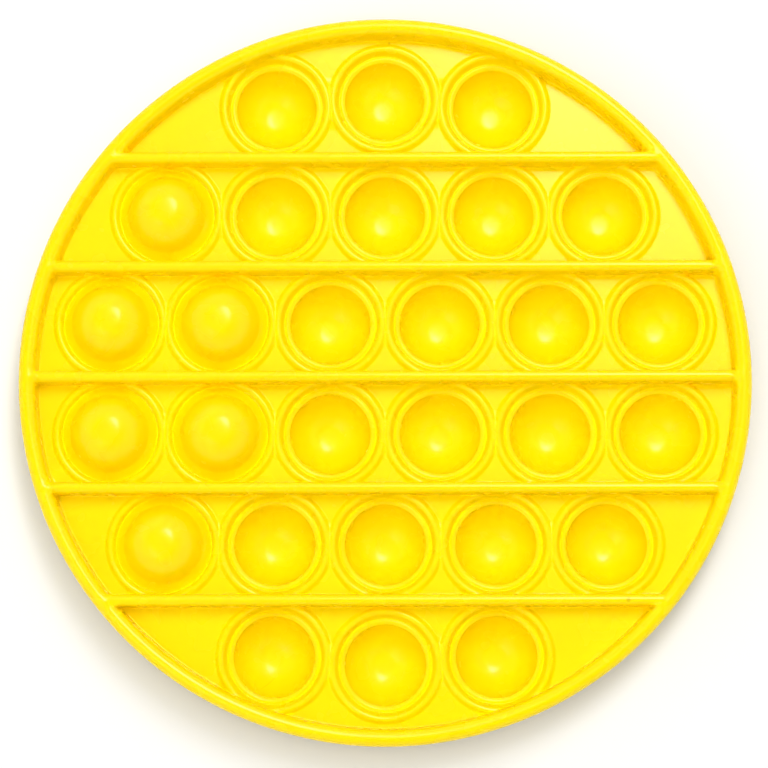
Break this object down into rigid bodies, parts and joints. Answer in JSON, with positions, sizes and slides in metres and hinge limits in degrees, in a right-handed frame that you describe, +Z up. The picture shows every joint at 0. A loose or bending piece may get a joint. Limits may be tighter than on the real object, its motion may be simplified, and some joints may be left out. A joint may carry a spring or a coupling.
{
  "type": "bubble pop fidget toy",
  "caption": "Round one-piece silicone fidget disc: rows of bubbles that pop through, between straight ribs inside a rounded rim.",
  "frame": {"origin": "centre of the disc, on the plane that it rests on, at the tips of the lowered bubbles", "axes": "+Z up through the disc, +X to the right along the rows of bubbles, +Y away from the viewer, towards the far row of bubbles"},
  "size_m": [0.125, 0.125, 0.0138],
  "materials": {
    "silicone": "satin moulded silicone rubber, bright yellow all through"
  },
  "bodies": {
    "root": {"bubble_disc": "silicone"}
  },
  "joints": []
}
